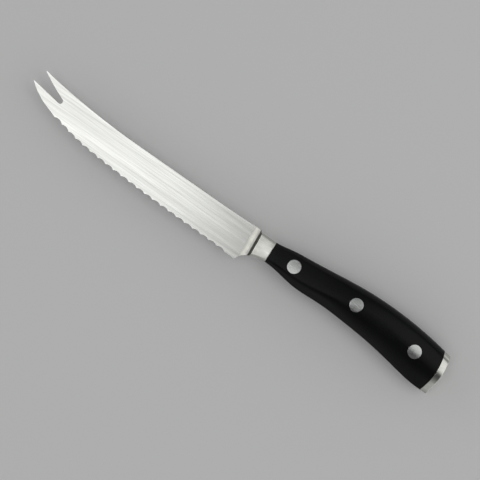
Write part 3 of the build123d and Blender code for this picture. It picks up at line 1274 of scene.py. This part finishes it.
@dataclass(frozen=True)
class Forging:
    """Blade, front bolster, tang and butt cap: one piece of steel."""

    blade: BladeShape
    handle: HandleShape
    rivets: tuple[RivetSeat, ...]
    satin: SatinSteel = SatinSteel()
    polished: PolishedSteel = PolishedSteel()
    ground: GroundSteel = GroundSteel()
    blended: PolishedSteel = PolishedSteel("blended_stainless_steel", ("#C7C7C0", "#D9D9D1"), (0.28, 0.34))
    # The step's corner steel, painted dark grey for the shade in the corner
    corner: ShadedCornerSteel = ShadedCornerSteel()
    blank_thickness: float = 3.4
    overrun: float = 12.0
    grinder_length: float = 48.0
    tool_thickness: float = 3.5
    tool_reach: float = 9.0
    bolster_steps: int = 28
    tang_steps: int = 50
    cap_steps: int = 4
    corner_steps: int = 9
    back_round: float = 0.08
    rim_round: float = 0.06
    rim_reach: float = 0.3
    teeth_start: float = 0.87
    sharp_tips: float = 6.0

    def stock(self) -> Piece:
        """The handle's steel, thinned to the tang between the bolster and the cap.

        Returns:
            The steel from the front bolster to the butt.
        """
        handle = self.handle
        front = handle.stations[0] * handle.length
        bolster = handle.between(lambda up: np.full_like(up, front), handle.front_seam, self.bolster_steps)
        tang = handle.between(handle.front_seam, handle.rear_seam, self.tang_steps)
        for ring in tang:
            ring[:, 2] = np.minimum(ring[:, 2], handle.tang / 2)
        cap = handle.between(handle.rear_seam, handle.corner_start, self.cap_steps)
        rings = bolster + tang + cap + handle.butt_rings(self.corner_steps)[1:]
        return loft("blade_forging_visual", [both_sides(ring) for ring in rings], strip_end=True)

    def blank(self) -> Piece:
        """The blade before grinding.

        Returns:
            A flat blank, with its root.
        """
        half = self.blank_thickness / 2
        outline = [(point.x, point.y, -half) for point in self.blade.outline()]
        return prism("blank", outline, Vector((0, 0, self.blank_thickness)))

    def side_grinder(self) -> Piece:
        """The tool that leaves the left side of the blade, the cove and the step.

        Returns:
            The tool, drawn out along the step's slant.
        """
        side_height = self.handle.widths[1] * self.handle.width / 2
        profile = self.blade.front_profile(side_height, self.overrun)
        profile.append(Vector((profile[0].x, profile[-1].y)))
        way = self.blade.shear()
        start = -way * self.overrun
        outline = [Vector((point.x, 0, point.y)) + start for point in profile]
        return prism("side_grinder", outline, way * self.grinder_length)

    def on_blade_rim(self, middle: Vector) -> bool:
        """Whether an edge is on the blade's back or the fork's rim.

        Args:
            middle: The edge's middle.

        Returns:
            True where it is also clear of the step and of the sharp tips.
        """
        on_back = middle.y > -self.blade.height / 2 and middle.x < self.blade.step_foot - self.blade.step_run
        on_fork = middle.x < -self.blade.length * self.teeth_start
        return (on_back or on_fork) and middle.x > self.sharp_tips - self.blade.length

    def on_step_rim(self, middle: Vector) -> bool:
        """Whether an edge is on the outer rim of the bolster's step."""
        at_step = abs(self.blade.at_back(middle) - self.blade.step_setback) < self.rim_reach
        return at_step and abs(middle.z) > self.handle.tang

    def build(self, bench: Bench) -> None:
        """Forges, grinds, drills and finishes the piece.

        Args:
            bench: Where it goes in the frame.
        """
        satin, polished, ground = self.satin.material(), self.polished.material(), self.ground.material()
        blended, corner = self.blended.material(), self.corner.material()
        piece = self.stock()
        dress(piece, polished)
        blank = self.blank()
        dress(blank, satin)
        combine(piece, blank, Cut.ADD)
        left = self.side_grinder()
        # The third finish, on the step's corner, is steel painted dark grey for the shade there
        dress(left, satin, blended, corner)
        step = self.blade.step_foot - self.blade.step_fillet
        dress_faces(left, 1, lambda middle: self.blade.at_back(middle) > self.blade.cove_start)
        # The step's corner faces get the steel painted dark grey for shade
        dress_faces(left, 2, lambda middle: self.blade.at_back(middle) > step)
        right = mirrored(left, "right_grinder")
        combine(piece, left, Cut.REMOVE)
        combine(piece, right, Cut.REMOVE)
        wheel = loft("flute_grinder", self.blade.flute_rings(self.tool_thickness, self.tool_reach))
        dress(wheel, ground)
        combine(piece, wheel, Cut.REMOVE)
        for rivet in self.rivets:
            radius, depth = rivet.sleeve_diameter / 2 + rivet.tang_clearance, self.handle.tang
            drill = loft("drill", rivet.rings((radius, -depth), (radius, depth)))
            dress(drill, satin)
            combine(piece, drill, Cut.REMOVE)
        bevel_sharp(piece, self.back_round, self.on_blade_rim)
        bevel_sharp(piece, self.back_round, self.on_step_rim)
        bevel_sharp(piece, self.rim_round, lambda middle: self.handle.on_seam_rim(middle, self.rim_round))
        tidy_mesh(piece)
        bench.settle(piece, "blade_forging")


@dataclass(frozen=True)
class Scales:
    """The two moulded halves of the grip."""

    handle: HandleShape
    rivets: tuple[RivetSeat, ...]
    acetal: BuffedAcetal = BuffedAcetal()
    seam_clearance: float = 0.03
    steps: int = 110
    rim_round: float = 0.08

    def left(self) -> Piece:
        """The left scale with its rivet bores.

        Returns:
            The scale, before its rims are rounded.
        """
        gap = self.seam_clearance
        halves = self.handle.between(
            lambda up: self.handle.front_seam(up) + gap,
            lambda up: self.handle.rear_seam(up) - gap,
            self.steps,
        )
        piece = loft("left_scale_visual", [half[1:-1] for half in halves])
        for rivet in self.rivets:
            combine(piece, self.cutter(rivet), Cut.REMOVE)
        return piece

    def cutter(self, rivet: RivetSeat) -> Piece:
        """The stepped tool that bores a scale for a rivet.

        Args:
            rivet: The rivet's seat.

        Returns:
            The tool, on the left side.
        """
        bore = rivet.sleeve_diameter / 2 + rivet.clearance
        head = rivet.head_diameter / 2 + rivet.clearance
        top = self.handle.width
        return loft("borer", rivet.rings((bore, 0), (bore, rivet.seat), (head, rivet.seat), (head, top)))

    def build(self, bench: Bench) -> None:
        """Moulds and dresses both scales.

        Args:
            bench: Where they go in the frame.
        """
        black = self.acetal.material()
        left = self.left()
        bevel_sharp(left, self.rim_round, lambda middle: self.handle.on_seam_rim(middle, self.rim_round))
        dress(left, black)
        tidy_mesh(left)
        right = mirrored(left, "right_scale_visual")
        bench.settle(left, "left_scale")
        bench.settle(right, "right_scale")


@dataclass(frozen=True)
class Rivets:
    """Three two-part cutler's rivets, each a post driven into a sleeve."""

    seats: tuple[RivetSeat, ...]
    steel: RivetSteel = RivetSteel()
    rim_round: float = 0.1
    rim_steps: int = 4
    head_shares: tuple[float, ...] = (0.85, 0.68, 0.5, 0.32, 0.16, 0.06)

    def head(self, rivet: RivetSeat) -> list[Points]:
        """The rings of a head on the left side.

        Args:
            rivet: The rivet's seat.

        Returns:
            Rings from the rim of its underside to the middle of its face.
        """
        radius, rim = rivet.head_diameter / 2, self.rim_round
        rings = rivet.rings((radius, rivet.seat))
        for turn in np.linspace(0, math.pi / 2, self.rim_steps):
            inset, below = rim * (1 - math.cos(turn)), rim * (1 - math.sin(turn))
            rings.append(rivet.flush_ring(radius - inset, below))
        return rings + [rivet.flush_ring(radius * share, 0) for share in self.head_shares]

    def post(self, rivet: RivetSeat) -> Piece:
        """The solid half, with its head on the left.

        Args:
            rivet: The rivet's seat.

        Returns:
            The post.
        """
        radius, seat = rivet.post_diameter / 2, rivet.seat
        shank = rivet.rings((radius, -seat - rivet.post_engagement), (radius, seat))
        return loft(f"{rivet.name}_rivet_post_visual", shank + self.head(rivet))

    def sleeve(self, rivet: RivetSeat) -> Piece:
        """The tubular half, with its head on the right.

        Args:
            rivet: The rivet's seat.

        Returns:
            The sleeve.
        """
        bore = rivet.post_diameter / 2 + rivet.clearance
        radius, seat = rivet.sleeve_diameter / 2, rivet.seat
        floor = seat + rivet.post_engagement + rivet.clearance
        shank = rivet.rings((bore, floor), (bore, -seat), (radius, -seat), (radius, seat))
        made = loft("sleeve", shank + self.head(rivet))
        turned = mirrored(made, f"{rivet.name}_rivet_sleeve_visual")
        bpy.data.objects.remove(made)
        return turned

    def build(self, bench: Bench) -> None:
        """Turns and dresses all six halves.

        Args:
            bench: Where they go in the frame.
        """
        steel = self.steel.material()
        for rivet in self.seats:
            for piece, half in ((self.post(rivet), "post"), (self.sleeve(rivet), "sleeve")):
                dress(piece, steel)
                tidy_mesh(piece)
                bench.settle(piece, f"{rivet.name}_rivet_{half}")


# The studio


@dataclass(frozen=True)
class SoftBox:
    """A level soft box over the table, in metres."""

    name: str
    along: tuple[float, float]
    across: tuple[float, float]
    radiance: float
    height: float = 1.5

    def build(self) -> None:
        """Hangs the box, with the power that gives it its radiance."""
        lamp = bpy.data.lights.new(self.name, "AREA")
        lamp.shape = "RECTANGLE"
        lamp.size, lamp.size_y = self.along[1] - self.along[0], self.across[1] - self.across[0]
        lamp.energy = self.radiance * math.pi * lamp.size * lamp.size_y
        box = bpy.data.objects.new(self.name, lamp)
        box.location = (sum(self.along) / 2, sum(self.across) / 2, self.height)
        box.visible_camera = False
        bpy.context.scene.collection.objects.link(box)


SOFT_BOXES = (
    SoftBox("blade_soft_box", (-0.6, -0.077), (-0.8, 0.15), 1.46),
    SoftBox("heel_soft_box", (-0.077, 0.04), (-0.5, 0.15), 0.92),
    SoftBox("bolster_soft_box", (-0.9, 0.12), (0.15, 0.6), 0.25),
    SoftBox("handle_soft_box", (0.15, 1.6), (0.12, 1.0), 1.0),
)


@dataclass(frozen=True)
class Studio:
    """A pale table under soft boxes, in a room with pale walls and a dark ceiling.

    Lengths are in metres. The picture's middle, on the knife's own axes, and the lens and its sensor
    are in millimetres.
    """

    floor_size: float = 8.0
    floor_drop: float = 0.00005
    floor_colour: str = "#E6E6E6"
    wall_colour: str = "#FFFFFF"
    wall_light: float = 2.0
    ceiling_light: float = 0.05
    wall_fade: float = 1.3
    side_share: float = 0.33
    picture_turn: float = 34.9
    picture_middle: tuple[float, float] = (-6.4, -10.1)
    camera_height: float = 0.9
    lens: float = 129.8
    sensor: float = 36.0

    def floor(self) -> None:
        """The table top, which keeps the knife's shadow."""
        deselect_all()
        bpy.ops.mesh.primitive_plane_add(size=self.floor_size, location=(0, 0, -self.floor_drop))
        floor = bpy.context.object
        floor.name = "floor"
        material, tree = new_material("matt_pale_board")
        matt = add_node(tree, "BsdfDiffuse", {"Color": linear(self.floor_colour)})
        add_node(tree, "OutputMaterial", links={"Surface": matt.outputs[0]})
        dress(floor, material)
        floor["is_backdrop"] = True

    def world(self) -> None:
        """Soft light from the room's walls, most of it from beyond the knife's ends, less from above."""
        world = bpy.data.worlds.new("studio_world")
        bpy.context.scene.world = world
        world.use_nodes = True
        tree = world.node_tree
        tree.nodes.clear()
        way = add_node(tree, "TexCoord").outputs["Generated"]
        axes = add_node(tree, "SeparateXYZ", links={0: way}).outputs
        square = add_node(tree, "Math", {"operation": "MULTIPLY"}, {0: axes["X"], 1: axes["X"]}).outputs[0]
        ends = {"operation": "MULTIPLY_ADD", 1: 1 - self.side_share, 2: self.side_share}
        walls = add_node(tree, "Math", ends, {0: square}).outputs[0]
        low = add_node(tree, "Math", {"operation": "SUBTRACT", "use_clamp": True, 0: 1.0}, {1: axes["Z"]})
        fade = add_node(tree, "Math", {"operation": "POWER", 1: self.wall_fade}, {0: low.outputs[0]})
        both = add_node(tree, "Math", {"operation": "MULTIPLY"}, {0: walls, 1: fade.outputs[0]}).outputs[0]
        scaled = {"operation": "MULTIPLY_ADD", 1: self.wall_light, 2: self.ceiling_light}
        level = add_node(tree, "Math", scaled, {0: both}).outputs[0]
        light = add_node(tree, "Background", {"Color": linear(self.wall_colour)}, {"Strength": level})
        add_node(tree, "OutputWorld", links={"Surface": light.outputs[0]})

    def camera(self, bench: Bench) -> None:
        """The camera, above the picture's middle and turned to lay the knife across it.

        Args:
            bench: Where the knife's own axes start.
        """
        data = bpy.data.cameras.new("camera")
        data.lens, data.sensor_width = self.lens, self.sensor
        camera = bpy.data.objects.new("camera", data)
        along, up = self.picture_middle
        camera.location = bench.origin + Vector((along * MM, up * MM, self.camera_height))
        camera.rotation_euler = (0, 0, math.radians(self.picture_turn))
        bpy.context.scene.collection.objects.link(camera)
        bpy.context.scene.camera = camera

    def build(self, bench: Bench) -> None:
        """Sets up the floor, the light and the camera.

        Args:
            bench: Where the knife's own axes start.
        """
        self.floor()
        self.world()
        for box in SOFT_BOXES:
            box.build()
        self.camera(bench)
        bpy.context.scene.view_settings.view_transform = "Standard"


def main() -> None:
    """Builds the knife around its packed construction, and the studio round it."""
    logging.basicConfig(level=logging.INFO, format="%(name)s: %(message)s")
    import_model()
    blade, handle = BladeShape(), HandleShape()
    rivets = tuple(RivetSeat(handle, *place) for place in RIVET_PLACES)
    bench = Bench.from_frame(blade, rivets[0])
    Forging(blade, handle, rivets).build(bench)
    Scales(handle, rivets).build(bench)
    Rivets(rivets).build(bench)
    Studio().build(bench)


if __name__ == "__main__":
    main()
